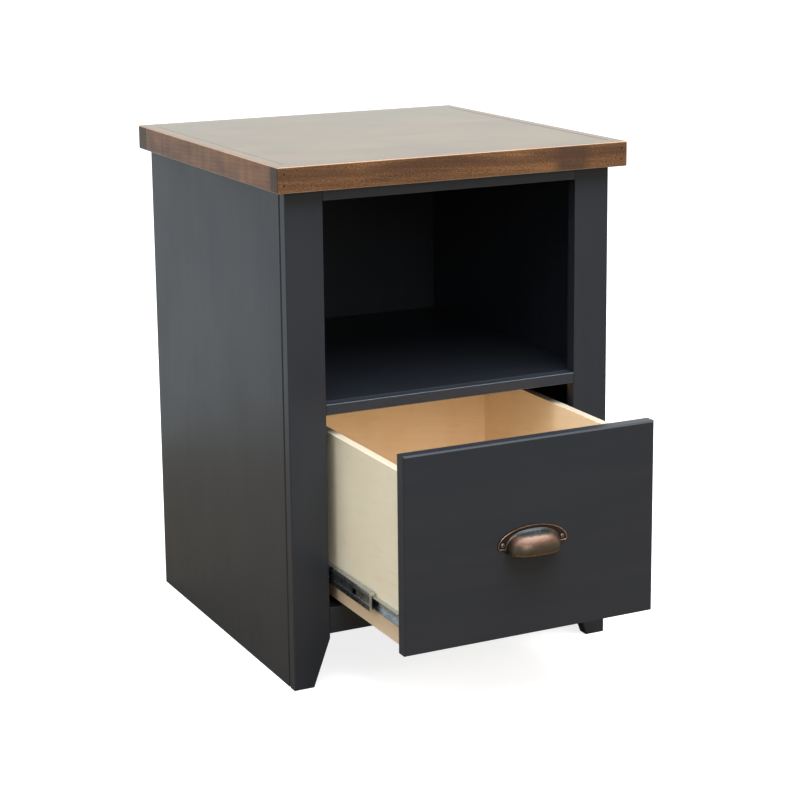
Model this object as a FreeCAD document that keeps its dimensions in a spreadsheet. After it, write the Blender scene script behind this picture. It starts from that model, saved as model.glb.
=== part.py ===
"""Bedside cabinet: painted face-frame case with an open cubby over one deep drawer.

Frame: +Z up, the drawer opens towards -Y, X = 0 on the cabinet's mirror plane and the
floor at Z = 0. The drawer stands part-way open, and Y = 0 is the middle of the whole
object's depth in that position, from the nose of the pull to the back of the top.
Distances called "behind" are measured from the front plane of the face frame.
"""
import FreeCAD
import Part
import Sketcher
import os

doc = FreeCAD.newDocument("bedside_cabinet")

# ---------------------------------------------------------------------------
# Driving dimensions, in millimetres
# ---------------------------------------------------------------------------
DIMENSIONS = [
    ("total_height", 762.0, "floor to top surface"),
    ("carcass_width", 519.0, "outside of the side panels"),
    ("carcass_depth", 537.0, "face frame front to back panel"),
    ("top_thickness", 37.0, "height of the edge boards of the top"),
    ("top_side_overhang", 18.7, "top beyond each side panel"),
    ("top_front_overhang", 21.5, "top beyond the face frame"),
    ("top_back_overhang", 3.0, "top beyond the back panel"),
    ("edge_front_board", 24.0, "front edge board, front to back"),
    ("edge_back_board", 37.0, "back edge board, front to back"),
    ("edge_side_board", 20.0, "side edge boards, left to right"),
    ("plank_thickness", 19.0, "boards of the top's field"),
    ("plank_count", 5.0, "boards in the field"),
    ("panel_thickness", 18.0, "side panels"),
    ("back_thickness", 6.0, "back panel"),
    ("back_rabbet", 9.0, "width of the rabbet that holds the back panel"),
    ("back_clearance", 60.0, "back panel's lower edge above the floor"),
    ("frame_thickness", 19.0, "stiles and rails of the face frame"),
    ("stile_width", 57.0, "stiles"),
    ("foot_width", 31.0, "tapered foot at the floor"),
    ("taper_height", 69.7, "height of the taper on each stile"),
    ("top_rail_width", 17.0, "rail under the top"),
    ("bottom_rail_low", 78.0, "lower edge of the bottom rail"),
    ("bottom_rail_high", 117.0, "upper edge of the bottom rail"),
    ("shelf_low", 402.0, "underside of the shelf and its nosing"),
    ("shelf_high", 417.5, "upper face of the shelf and its nosing"),
    ("dado_depth", 5.0, "grooves in the side panels for shelf and bottom"),
    ("frame_round", 2.0, "eased edges of the face frame"),
    ("panel_groove", 2.8, "bevel at the joint of stile and side panel"),
    ("board_ease", 0.8, "eased edges of other boards"),
    ("plank_ease", 0.25, "eased edges of the field boards"),
    ("top_seam", 1.2, "bevel of the side edge boards along the field"),
    ("top_round", 2.2, "eased outer edges of the top"),
    ("drawer_open", 229.5, "how far the drawer stands open"),
    ("front_width", 392.0, "drawer front"),
    ("front_low", 119.7, "lower edge of the drawer front"),
    ("front_high", 398.4, "upper edge of the drawer front"),
    ("front_thickness", 18.2, "drawer front"),
    ("front_bevel", 2.2, "bevel round the drawer front"),
    ("box_width", 378.0, "outside of the drawer box"),
    ("box_depth", 453.0, "drawer box, front to back"),
    ("box_low", 125.5, "lower edge of the box sides"),
    ("box_high", 370.4, "upper edge of the box sides"),
    ("box_ply", 12.5, "box sides, front and back"),
    ("box_bottom_ply", 6.0, "box bottom"),
    ("box_bottom_lift", 9.5, "box bottom above the lower edge of the sides"),
    ("bottom_groove", 6.0, "depth of the groove that holds the box bottom"),
    ("slide_length", 460.0, "fixed member of each slide"),
    ("slide_centre", 165.0, "height of the slides' middle line"),
    ("slide_thickness", 12.7, "slide, cabinet face to drawer face"),
    ("slide_setback", 22.0, "fixed member's front end behind the face frame"),
    ("steel", 1.2, "sheet steel of the slides"),
    ("outer_height", 35.2, "fixed member"),
    ("outer_depth", 9.2, "fixed member's flanges"),
    ("outer_lip", 2.7, "fixed member's turned lips"),
    ("middle_height", 26.4, "middle member"),
    ("middle_depth", 8.2, "middle member's flanges"),
    ("middle_lip", 2.7, "middle member's turned lips"),
    ("middle_standoff", 2.1, "middle member's web above the mounting plane"),
    ("middle_recess", 0.8, "middle member's web behind its ball races"),
    ("middle_recess_half", 7.0, "half the height of the recess in the web"),
    ("recess_round", 0.35, "eased edges of the recess"),
    ("middle_length", 435.0, "middle member"),
    ("middle_share", 0.65, "middle member's travel for each unit of the drawer's"),
    ("inner_height", 16.6, "drawer member"),
    ("inner_depth", 7.2, "drawer member's flanges"),
    ("inner_length", 455.0, "drawer member"),
    ("inner_setback", 1.8, "drawer member's front end behind the box front"),
    ("window_length", 13.0, "windows in the middle member's web"),
    ("window_height", 8.0, "windows in the middle member's web"),
    ("window_first", 45.0, "first window behind the middle member's front end"),
    ("window_pitch", 120.0, "distance between windows"),
    ("cage_sheet", 0.6, "sheet of the ball retainers"),
    ("outer_cage_height", 30.2, "outer ball retainer"),
    ("outer_cage_depth", 5.4, "outer ball retainer"),
    ("outer_cage_standoff", 1.3, "outer ball retainer above the mounting plane"),
    ("outer_cage_length", 120.0, "outer ball retainer"),
    ("outer_cage_shut", 190.0, "outer retainer's front end when the drawer is shut"),
    ("outer_ball", 3.0, "diameter of the balls in the outer retainer"),
    ("inner_cage_height", 20.9, "inner ball retainer"),
    ("inner_cage_depth", 4.9, "inner ball retainer"),
    ("inner_cage_standoff", 4.2, "inner ball retainer above the mounting plane"),
    ("inner_cage_length", 150.0, "inner ball retainer"),
    ("inner_cage_shut", 163.0, "inner retainer's front end when the drawer is shut"),
    ("inner_ball", 3.4, "diameter of the balls in the inner retainer"),
    ("ball_clearance", 0.05, "radial clearance of a ball in its retainer"),
    ("ball_rim_gap", 0.55, "balls behind the rims of their retainer"),
    ("stop_length", 5.0, "buffer at the rear end of the fixed member"),
    ("stop_depth", 6.0, "buffer above the fixed member's web"),
    ("stop_gap", 0.2, "free space above and below the buffer"),
    ("bracket_length", 6.0, "end bracket of the middle member"),
    ("bracket_depth", 4.6, "flanges of the end bracket's tongue"),
    ("bracket_plate", 2.4, "end bracket's plate, front to back"),
    ("bracket_web", 2.6, "end bracket's plate beside the web"),
    ("bracket_gap", 0.2, "free space round the bracket's tongue"),
    ("bracket_step", 1.0, "bracket's plate short of the flanges' rims"),
    ("spacer_height", 70.0, "wood block behind each slide"),
    ("spacer_length", 480.0, "wood block behind each slide"),
    ("pull_projection", 29.0, "cup pull in front of the drawer front"),
    ("pull_half_width", 41.6, "cup at its lip"),
    ("pull_lip_height", 241.6, "lip of the cup"),
    ("pull_cup_top", 269.4, "top of the cup"),
    ("pull_wall", 1.8, "wall of the cup"),
    ("plate_half_width", 53.6, "backplate"),
    ("plate_low", 246.8, "lower edge of the backplate's ears"),
    ("plate_top", 277.0, "crown of the backplate"),
    ("plate_thickness", 2.0, "backplate"),
    ("plate_rim", 1.6, "raised rim of the backplate"),
    ("pull_screw_height", 253.6, "height of the pull's screws"),
    ("pull_screw_pitch", 93.6, "distance between the pull's screws"),
    ("wood_screw", 1.9, "radius of the screws' shanks"),
    ("pan_head", 3.3, "radius of the round screw heads"),
    ("pan_head_height", 1.6, "round screw heads"),
    ("flush_head", 3.4, "radius of the countersunk screw heads"),
    ("flush_head_height", 1.1, "countersunk screw heads"),
    ("screw_point", 3.0, "pointed end of the screws"),
    ("case_screw", 16.0, "screws of the fixed members"),
    ("drawer_screw", 11.0, "screws of the drawer members"),
    ("spacer_screw", 50.0, "screws of the wood blocks"),
    ("spacer_screw_row", 27.0, "block screws above and below the slides' middle line"),
    ("front_screw", 25.0, "screws of the drawer front"),
    ("front_screw_side", 120.0, "drawer front's screws from the middle"),
    ("front_screw_low", 170.0, "height of the drawer front's lower screws"),
    ("front_screw_high", 325.0, "height of the drawer front's upper screws"),
    ("top_screw", 30.0, "screws of the top"),
    ("top_screw_side", 190.0, "top's screws from the middle"),
    ("pull_screw", 14.0, "screws of the pull"),
    ("nail", 0.9, "radius of the finish nails"),
    ("nail_length", 45.0, "finish nails"),
    ("nail_set", 0.4, "finish nails below the surface"),
    ("nail_high", 10.0, "edge boards' upper nails below the top surface"),
    ("nail_low", 26.0, "edge boards' lower nails below the top surface"),
    ("nosing_nail_side", 24.0, "nosing's nails from the stiles"),
]

sheet = doc.addObject("Spreadsheet::Sheet", "dims")
sheet.set("A1", "alias")
sheet.set("B1", "value")
sheet.set("C1", "meaning")
for row, (alias, value, meaning) in enumerate(DIMENSIONS, start=2):
    sheet.set(f"A{row}", alias)
    sheet.set(f"B{row}", str(value))
    sheet.set(f"C{row}", meaning)
    sheet.setAlias(f"B{row}", alias)
doc.recompute()


def value(expression):
    """The number that an expression of the sheet's cells works out to."""
    result = sheet.evalExpression(expression)
    return float(getattr(result, "Value", result))


# ---------------------------------------------------------------------------
# Expressions that several pieces share
# ---------------------------------------------------------------------------
FACE = ("((dims.drawer_open + dims.pull_projection"
        " - dims.carcass_depth - dims.top_back_overhang) / 2)")
HALF_CASE = "dims.carcass_width / 2"
CASE_HIGH = "(dims.total_height - dims.top_thickness)"
HALF_OPENING = "(dims.carcass_width / 2 - dims.stile_width)"
PANEL_INSIDE = "(dims.carcass_width / 2 - dims.panel_thickness)"
BACK_INSIDE = "(dims.carcass_depth - dims.back_thickness)"
TOP_HALF = "(dims.carcass_width / 2 + dims.top_side_overhang)"
TOP_FIELD_FRONT = "(dims.edge_front_board - dims.top_front_overhang)"
TOP_FIELD_BACK = ("(dims.carcass_depth + dims.top_back_overhang"
                  " - dims.edge_back_board)")
TOP_FIELD_HALF = "(dims.carcass_width / 2 + dims.top_side_overhang - dims.edge_side_board)"
BOX_FRONT = "(dims.front_thickness - dims.drawer_open)"
SLIDE_PLANE = "(dims.box_width / 2 + dims.slide_thickness)"

SIDES = {"left": -1, "right": 1}

# How many of each, and how far each fastener is behind the face frame or, for the
# drawer's screws, behind the drawer front.
OUTER_BALLS = 6
INNER_BALLS = 7
WINDOWS = 3
CASE_SCREWS = (60, 250, 440)
DRAWER_SCREWS = (58, 230, 420)
SPACER_SCREWS = (60, 440)
TOP_SCREWS = (60, 460)

# Shares that shape small details.
BEND_SHARE = 0.9
HEAD_CROWN = 0.62
HEAD_SHOULDER = 0.45
PLATE_SHARE = 0.6


def behind(expression):
    """A Y coordinate given as a distance behind the face frame's front."""
    return f"{FACE} + {expression}"


def mirrored_span(side, inner, outer):
    """Start and length in X of a piece between two distances from the middle."""
    length = f"({outer}) - ({inner})"
    start = f"({inner})" if side > 0 else f"-({outer})"
    return start, length


# ---------------------------------------------------------------------------
# Building blocks
# ---------------------------------------------------------------------------
NODES = []


def new_body(label):
    body = doc.addObject("PartDesign::Body", label)
    body.Label = label
    NODES.append(body)
    return body


def origin_plane(body, role):
    return next(f for f in body.Origin.OriginFeatures if f.Role == role)


def bind(thing, **expressions):
    for name, expression in expressions.items():
        thing.setExpression(name.replace("__", "."), expression)


def place(thing, x, y, z):
    bind(thing, Placement__Base__x=x, Placement__Base__y=y, Placement__Base__z=z)


def lies_in(edge, axis, level):
    """Whether both ends of an edge have the same coordinate, level, along an axis."""
    return all(abs(getattr(vertex, axis) - level) < 1e-4 for vertex in edge.Vertexes)


def edges_in(shape, *planes):
    """Names of the edges that lie in every one of the given (axis, level) planes."""
    return [f"Edge{number}" for number, edge in enumerate(shape.Edges, start=1)
            if all(lies_in(edge, *plane) for plane in planes)]


def arrises(shape, sizes, butted):
    """Names of the edges where two of a box's six faces meet, butted faces left out.

    sizes are the box's lengths in X, Y and Z from its own zero corner; butted lists
    the faces that butt against a neighbour, as x- x+ y- y+ z- z+ parted by spaces.
    """
    names = []
    for number, edge in enumerate(shape.Edges, start=1):
        faces = []
        for axis, size in zip("XYZ", sizes):
            faces += [f"{axis.lower()}-"] if lies_in(edge, axis, 0.0) else []
            faces += [f"{axis.lower()}+"] if lies_in(edge, axis, size) else []
        if len(faces) == 2 and not set(faces) & set(butted.split()):
            names.append(f"Edge{number}")
    return names


def dress(body, kind, size_name, size, edges):
    """Add a PartDesign::Fillet or PartDesign::Chamfer to edges of the tip."""
    base = body.Tip
    feature = body.newObject(f"PartDesign::{kind}", f"{body.Label}_{kind.lower()}")
    feature.Base = (base, edges)
    feature.setExpression(size_name, size)
    doc.recompute()
    return feature


OVER = "2"


def open_below(length):
    """Span of a cut that runs in from the piece's zero face."""
    return f"-{OVER}", f"{length} + {OVER}"


def open_above(size, length):
    """Span of a cut that runs in from the piece's far face."""
    return f"{size} - {length}", f"{length} + {OVER}"


def open_both(size):
    """Span of a cut that runs right through the piece."""
    return f"-{OVER}", f"{size} + 2 * {OVER}"


def notch(body, name, x, y, z):
    """Cut a square groove out of a piece; x, y and z are (start, length)."""
    before = body.Tip.Shape.Volume
    cutter = body.newObject("PartDesign::SubtractiveBox", f"{body.Label}_{name}")
    bind(cutter, Length=x[1], Width=y[1], Height=z[1])
    place(cutter, x[0], y[0], z[0])
    doc.recompute()
    if not 0 < body.Tip.Shape.Volume < before:
        raise RuntimeError(f"{cutter.Name} did not cut a groove")


def board(label, x, y, z, ease="dims.board_ease", butted="", grooves=(), bevel=None):
    """A board with eased edges: x, y and z are (start, length) expressions.

    Faces that butt against a neighbour keep their sharp edges, as in arrises().
    Each groove is (name, x, y, z), measured from the board's own zero corner.
    A bevel is (planes, size), and it is cut on the edges that lie in all its planes.
    """
    body = new_body(label)
    blank = body.newObject("PartDesign::AdditiveBox", f"{label}_blank")
    bind(blank, Length=x[1], Width=y[1], Height=z[1])
    place(body, x[0], y[0], z[0])
    doc.recompute()
    for groove in grooves:
        notch(body, *groove)
    if bevel:
        planes, size = bevel
        dress(body, "Chamfer", "Size", size, edges_in(body.Tip.Shape, *planes))
    if ease:
        sizes = [value(span[1]) for span in (x, y, z)]
        dress(body, "Fillet", "Radius", ease, arrises(body.Tip.Shape, sizes, butted))


def polygon_sketch(body, name, role, points):
    """A closed outline on an origin plane; each corner is a pair of expressions."""
    sketch = body.newObject("Sketcher::SketchObject", name)
    sketch.AttachmentSupport = [(origin_plane(body, role), "")]
    sketch.MapMode = "FlatFace"
    corners = [FreeCAD.Vector(value(x), value(y), 0) for x, y in points]
    count = len(points)
    for index in range(count):
        segment = Part.LineSegment(corners[index], corners[(index + 1) % count])
        sketch.addGeometry(segment, False)
    for index in range(count):
        following = (index + 1) % count
        link = Sketcher.Constraint("Coincident", index, 2, following, 1)
        sketch.addConstraint(link)
    for index, (x, y) in enumerate(points):
        for axis, expression in (("X", x), ("Y", y)):
            distance = Sketcher.Constraint(
                f"Distance{axis}", -1, 1, index, 1, value(expression))
            name = f"corner_{index}_{axis}"
            sketch.renameConstraint(sketch.addConstraint(distance), name)
            sketch.setExpression(f"Constraints.{name}", expression)
    return sketch


def pad(body, sketch, length, reverse=False):
    feature = body.newObject("PartDesign::Pad", f"{body.Label}_pad")
    feature.Profile = sketch
    feature.Reversed = reverse
    feature.setExpression("Length", length)
    sketch.Visibility = False
    doc.recompute()
    return feature


def cut_through(body, sketch, name):
    """Cut a sketch right through the piece, both ways from its plane."""
    before = body.Tip.Shape.Volume
    feature = body.newObject("PartDesign::Pocket", name)
    feature.Profile = sketch
    feature.Type = "ThroughAll"
    feature.SideType = "Symmetric"
    doc.recompute()
    if body.Tip.Shape.Volume >= before - 1e-6:
        raise RuntimeError(f"{name} cut nothing")
    return feature


def repeat_along_y(body, feature, pitch, count):
    pattern = body.newObject("PartDesign::LinearPattern", f"{feature.Name}_row")
    pattern.Originals = [feature]
    pattern.Direction = (origin_plane(body, "Y_Axis"), [""])
    pattern.Occurrences = count
    pattern.setExpression("Length", f"{pitch} * {count - 1}")
    body.Tip = pattern
    doc.recompute()


def group(label, members):
    """Several loose solids of one kind, kept as one piece of the list."""
    compound = doc.addObject("Part::Compound", label)
    compound.Label = label
    compound.Links = members
    NODES.append(compound)
    return compound


# ---------------------------------------------------------------------------
# Top: a field of boards edged with deeper boards, over a plain under-top
# ---------------------------------------------------------------------------
def build_top():
    full_width = (f"-{TOP_HALF}", f"2 * {TOP_HALF}")
    edge_high = (CASE_HIGH, "dims.top_thickness")
    board("top_edge_front", full_width,
          (behind("-dims.top_front_overhang"), "dims.edge_front_board"),
          edge_high, "dims.top_round", butted="y+")
    board("top_edge_back", full_width, (behind(TOP_FIELD_BACK), "dims.edge_back_board"),
          edge_high, "dims.top_round", butted="y-")
    field_depth = f"({TOP_FIELD_BACK} - {TOP_FIELD_FRONT})"
    for name, side in SIDES.items():
        inner_face = "x-" if side > 0 else "x+"
        inner = 0.0 if side > 0 else value("dims.edge_side_board")
        seam = (("X", inner), ("Z", value("dims.top_thickness")))
        board(f"top_edge_{name}", mirrored_span(side, TOP_FIELD_HALF, TOP_HALF),
              (behind(TOP_FIELD_FRONT), field_depth), edge_high, "dims.top_round",
              butted=f"y- y+ {inner_face}", bevel=(seam, "dims.top_seam"))
    field_width = (f"-{TOP_FIELD_HALF}", f"2 * {TOP_FIELD_HALF}")
    for number in range(int(value("dims.plank_count"))):
        pitch = f"{field_depth} / dims.plank_count"
        board(f"top_plank_{number + 1}", field_width,
              (behind(f"{TOP_FIELD_FRONT} + {number} * {pitch}"), pitch),
              ("dims.total_height - dims.plank_thickness", "dims.plank_thickness"),
              "dims.plank_ease")
    board("sub_top", field_width, (behind(TOP_FIELD_FRONT), field_depth),
          (CASE_HIGH, "dims.top_thickness - dims.plank_thickness"), "dims.plank_ease")


# ---------------------------------------------------------------------------
# Case: grooved side panels, shelf, bottom, back and the face frame
# ---------------------------------------------------------------------------
def build_side_panel(name, side):
    depth = "(dims.carcass_depth - dims.frame_thickness)"
    if side > 0:
        rabbet = open_below("dims.back_rabbet")
        dado = open_below("dims.dado_depth")
    else:
        rabbet = open_above("dims.panel_thickness", "dims.back_rabbet")
        dado = open_above("dims.panel_thickness", "dims.dado_depth")
    panel = "(dims.shelf_high - dims.shelf_low)"
    grooves = [
        ("rabbet", rabbet, open_above(depth, "dims.back_thickness"), open_both(CASE_HIGH)),
        ("shelf_dado", dado, open_both(depth), ("dims.shelf_low", panel)),
        ("bottom_dado", dado, open_both(depth), (f"dims.bottom_rail_high - {panel}", panel)),
    ]
    outer = value("dims.panel_thickness") if side > 0 else 0.0
    board(f"side_panel_{name}", mirrored_span(side, PANEL_INSIDE, HALF_CASE),
          (behind("dims.frame_thickness"), depth), ("0", CASE_HIGH),
          butted="y- z+", grooves=grooves,
          bevel=((("X", outer), ("Y", 0.0)), "dims.panel_groove"))


def build_stile(name, side):
    """A stile with its lower end tapered into a foot on the opening's side."""
    body = new_body(f"stile_{name}")
    inward = "-" if side > 0 else ""
    outline = [
        ("0", "0"),
        (f"{inward}dims.foot_width", "0"),
        (f"{inward}dims.stile_width", "dims.taper_height"),
        (f"{inward}dims.stile_width", CASE_HIGH),
        ("0", CASE_HIGH),
    ]
    sketch = polygon_sketch(body, f"stile_{name}_outline", "XZ_Plane", outline)
    pad(body, sketch, "dims.frame_thickness", reverse=True)
    place(body, HALF_CASE if side > 0 else f"-{HALF_CASE}", FACE, "0")
    inner = value(f"{inward}dims.stile_width")
    high = value(CASE_HIGH)
    front = edges_in(body.Tip.Shape, ("Y", 0.0))
    plain = edges_in(body.Tip.Shape, ("Z", high)) + edges_in(body.Tip.Shape, ("X", inner))
    dress(body, "Fillet", "Radius", "dims.frame_round", [e for e in front if e not in plain])
    inner_edge = edges_in(body.Tip.Shape, ("X", inner), ("Y", 0.0))
    dress(body, "Fillet", "Radius", "dims.board_ease", inner_edge)
    back_edge = edges_in(body.Tip.Shape, ("X", 0.0), ("Y", value("dims.frame_thickness")))
    dress(body, "Chamfer", "Size", "dims.panel_groove", back_edge)


def build_case():
    for name, side in SIDES.items():
        build_side_panel(name, side)
        build_stile(name, side)
    opening = (f"-{HALF_OPENING}", f"2 * {HALF_OPENING}")
    frame_depth = (FACE, "dims.frame_thickness")
    rails = [
        ("top_rail", f"{CASE_HIGH} - dims.top_rail_width", "dims.top_rail_width"),
        ("shelf_nosing", "dims.shelf_low", "dims.shelf_high - dims.shelf_low"),
        ("bottom_rail", "dims.bottom_rail_low",
         "dims.bottom_rail_high - dims.bottom_rail_low"),
    ]
    for name, low, width in rails:
        board(name, opening, frame_depth, (low, width))
    panel = "(dims.shelf_high - dims.shelf_low)"
    shelf_half = f"({PANEL_INSIDE} + dims.dado_depth)"
    shelf_width = (f"-{shelf_half}", f"2 * {shelf_half}")
    shelf_run = (behind("dims.frame_thickness"), f"{BACK_INSIDE} - dims.frame_thickness")
    board("shelf_panel", shelf_width, shelf_run, ("dims.shelf_low", panel))
    board("bottom_panel", shelf_width, shelf_run,
          (f"dims.bottom_rail_high - {panel}", panel))
    back_half = f"({HALF_CASE} - dims.back_rabbet)"
    board("back_panel", (f"-{back_half}", f"2 * {back_half}"),
          (behind(BACK_INSIDE), "dims.back_thickness"),
          ("dims.back_clearance", f"{CASE_HIGH} - dims.back_clearance"))
    for name, side in SIDES.items():
        board(f"slide_spacer_{name}", mirrored_span(side, SLIDE_PLANE, PANEL_INSIDE),
              (behind("dims.frame_thickness"), "dims.spacer_length"),
              ("dims.slide_centre - dims.spacer_height / 2", "dims.spacer_height"))


# ---------------------------------------------------------------------------
# Drawer: a plywood box behind a false front
# ---------------------------------------------------------------------------
def build_drawer():
    board("drawer_front", ("-dims.front_width / 2", "dims.front_width"),
          (behind("-dims.drawer_open"), "dims.front_thickness"),
          ("dims.front_low", "dims.front_high - dims.front_low"), ease=None,
          bevel=((("Y", 0.0),), "dims.front_bevel"))
    box_high = ("dims.box_low", "dims.box_high - dims.box_low")
    inside_half = "(dims.box_width / 2 - dims.box_ply)"
    groove_high = ("dims.box_bottom_lift", "dims.box_bottom_ply")
    from_low_face = open_below("dims.bottom_groove")
    from_high_face = open_above("dims.box_ply", "dims.bottom_groove")
    for name, side in SIDES.items():
        groove = from_low_face if side > 0 else from_high_face
        board(f"drawer_side_{name}", mirrored_span(side, inside_half, "dims.box_width / 2"),
              (behind(BOX_FRONT), "dims.box_depth"), box_high,
              grooves=[("groove", groove, open_both("dims.box_depth"), groove_high)])
    across = (f"-{inside_half}", f"2 * {inside_half}")
    ends = [
        ("drawer_box_front", BOX_FRONT, from_high_face),
        ("drawer_back", f"{BOX_FRONT} + dims.box_depth - dims.box_ply", from_low_face),
    ]
    for name, start, groove in ends:
        board(name, across, (behind(start), "dims.box_ply"), box_high, butted="x- x+",
              grooves=[("groove", open_both(f"2 * {inside_half}"), groove, groove_high)])
    bottom_half = f"({inside_half} + dims.bottom_groove)"
    inset = "(dims.box_ply - dims.bottom_groove)"
    board("drawer_bottom", (f"-{bottom_half}", f"2 * {bottom_half}"),
          (behind(f"{BOX_FRONT} + {inset}"), f"dims.box_depth - 2 * {inset}"),
          ("dims.box_low + dims.box_bottom_lift", "dims.box_bottom_ply"), "dims.plank_ease")


# ---------------------------------------------------------------------------
# Ball-bearing slides: three members, two ball retainers with their balls
# ---------------------------------------------------------------------------
def channel_outline(side, height, depth, start, lip=None, sheet_steel="dims.steel",
                    recess=None):
    """Section of a channel whose web stands at start and opens to the drawer.

    The first coordinate runs from the cabinet's side to the drawer's side. A recess is
    (half height, depth), and it sets the middle of the web back from the ball races.
    """
    away = "" if side < 0 else "-"
    half = f"{height} / 2"
    near = f"{away}({start})"
    web = f"{away}({start} + {sheet_steel})"
    rim = f"{away}({start} + {depth})"
    inside = f"({half} - {sheet_steel})"
    lower = [(near, f"-{half}"), (rim, f"-{half}")]
    if lip:
        turned = f"{away}({start} + {depth} - {sheet_steel})"
        tip = f"({half} - {lip})"
        lower += [(rim, f"-{tip}"), (turned, f"-{tip}"), (turned, f"-{inside}")]
    else:
        lower += [(rim, f"-{inside}")]
    lower += [(web, f"-{inside}")]
    closing = []
    if recess:
        recess_half, set_back = recess
        jog = f"({recess_half} + {sheet_steel})"
        lower += [(web, f"-{jog}"), (f"{away}({start} + {sheet_steel} + {set_back})", f"-{jog}")]
        floor = f"{away}({start} + {set_back})"
        closing = [(near, recess_half), (floor, recess_half),
                   (floor, f"-{recess_half}"), (near, f"-{recess_half}")]
    upper = [(x, z.lstrip("-")) for x, z in reversed(lower)]
    return lower + upper + closing


def channel(label, side, section, front, length):
    body = new_body(label)
    sketch = polygon_sketch(body, f"{label}_section", "XZ_Plane", section)
    pad(body, sketch, length, reverse=True)
    place(body, SLIDE_PLANE if side > 0 else f"-{SLIDE_PLANE}", behind(front),
          "dims.slide_centre")
    return body


def round_pair(body, across, level, radius):
    """Round the two edges that run along the slide at X = across and Z = +-level."""
    pair = []
    for height in (-level, level):
        pair += edges_in(body.Tip.Shape, ("X", across), ("Z", height))
    dress(body, "Fillet", "Radius", radius, pair)


def round_bends(body, across):
    """Round the two outer bends beside the web, across being the web's outer face."""
    half = max(vertex.Z for vertex in body.Tip.Shape.Vertexes)
    round_pair(body, across, half, f"dims.steel * {BEND_SHARE}")


def build_window_row(body):
    """Oblong windows through the middle member's web."""
    near = "dims.window_first"
    far = "dims.window_first + dims.window_length"
    half = "dims.window_height / 2"
    outline = [(near, f"-{half}"), (far, f"-{half}"), (far, half), (near, half)]
    sketch = polygon_sketch(body, f"{body.Label}_window", "YZ_Plane", outline)
    pocket = cut_through(body, sketch, f"{body.Label}_window_cut")
    repeat_along_y(body, pocket, "dims.window_pitch", WINDOWS)


def build_retainer(name, side, kind, front, balls):
    """A ball retainer and its two rows of balls."""
    standoff = f"dims.{kind}_cage_standoff"
    depth = f"dims.{kind}_cage_depth"
    section = channel_outline(side, f"dims.{kind}_cage_height", depth, standoff,
                              sheet_steel="dims.cage_sheet")
    label = f"{kind}_ball_retainer_{name}"
    body = channel(label, side, section, front, f"dims.{kind}_cage_length")

    away = "" if side < 0 else "-"
    ball = f"dims.{kind}_ball"
    across = f"({standoff} + {depth} - {ball} / 2 - dims.ball_rim_gap)"
    first = f"(dims.{kind}_cage_length / {balls} / 2)"
    pitch = f"(dims.{kind}_cage_length / {balls})"
    sketch = body.newObject("Sketcher::SketchObject", f"{label}_seat")
    sketch.AttachmentSupport = [(origin_plane(body, "XY_Plane"), "")]
    sketch.MapMode = "FlatFace"
    centre = FreeCAD.Vector(value(f"{away}{across}"), value(first), 0)
    radius = f"{ball} / 2 + dims.ball_clearance"
    sketch.addGeometry(Part.Circle(centre, FreeCAD.Vector(0, 0, 1), value(radius)), False)
    bound = [("DistanceX", f"{away}{across}"), ("DistanceY", first)]
    for constraint, expression in bound:
        number = sketch.addConstraint(
            Sketcher.Constraint(constraint, -1, 1, 0, 3, value(expression)))
        sketch.renameConstraint(number, constraint)
        sketch.setExpression(f"Constraints.{constraint}", expression)
    number = sketch.addConstraint(Sketcher.Constraint("Radius", 0, value(radius)))
    sketch.renameConstraint(number, "seat_radius")
    sketch.setExpression("Constraints.seat_radius", radius)
    seats = cut_through(body, sketch, f"{label}_seats")
    repeat_along_y(body, seats, pitch, balls)

    spheres = []
    ball_height = f"((dims.{kind}_cage_height - dims.cage_sheet) / 2)"
    for index in range(balls):
        for row in ("-", ""):
            sphere = doc.addObject("Part::Sphere", f"{kind}_ball_{name}")
            bind(sphere, Radius=f"{ball} / 2")
            plane = SLIDE_PLANE if side > 0 else f"-{SLIDE_PLANE}"
            place(sphere, f"{plane} + {away}{across}",
                  behind(f"{front} + {first} + {index} * {pitch}"),
                  f"dims.slide_centre + {row}{ball_height}")
            spheres.append(sphere)
    group(f"{kind}_balls_{name}", spheres)


def build_slide(name, side):
    away = "" if side < 0 else "-"
    outer = channel(f"slide_fixed_member_{name}", side,
                    channel_outline(side, "dims.outer_height", "dims.outer_depth", "0",
                                    lip="dims.outer_lip"),
                    "dims.slide_setback", "dims.slide_length")
    round_bends(outer, 0.0)
    middle_front = "(dims.slide_setback - dims.middle_share * dims.drawer_open)"
    middle = channel(f"slide_middle_member_{name}", side,
                     channel_outline(side, "dims.middle_height", "dims.middle_depth",
                                     "dims.middle_standoff", lip="dims.middle_lip",
                                     recess=("dims.middle_recess_half", "dims.middle_recess")),
                     middle_front, "dims.middle_length")
    middle_web = value(f"{away}dims.middle_standoff")
    round_bends(middle, middle_web)
    round_pair(middle, middle_web, value("dims.middle_recess_half"), "dims.recess_round")
    build_window_row(middle)
    inner_section = channel_outline(side, "dims.inner_height", "dims.inner_depth", "0")
    flipped = [(f"{away}dims.slide_thickness - ({x})", z) for x, z in inner_section]
    inner = channel(f"slide_drawer_member_{name}", side, flipped,
                    f"({BOX_FRONT} + dims.inner_setback)", "dims.inner_length")
    round_bends(inner, value(f"{away}dims.slide_thickness"))

    outer_share = "dims.middle_share / 2"
    inner_share = "(dims.middle_share + 1) / 2"
    build_retainer(name, side, "outer",
                   f"(dims.outer_cage_shut - {outer_share} * dims.drawer_open)", OUTER_BALLS)
    build_retainer(name, side, "inner",
                   f"(dims.inner_cage_shut - {inner_share} * dims.drawer_open)", INNER_BALLS)
    build_end_bracket(name, side, middle_front)
    build_rear_stop(name, side)


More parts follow.
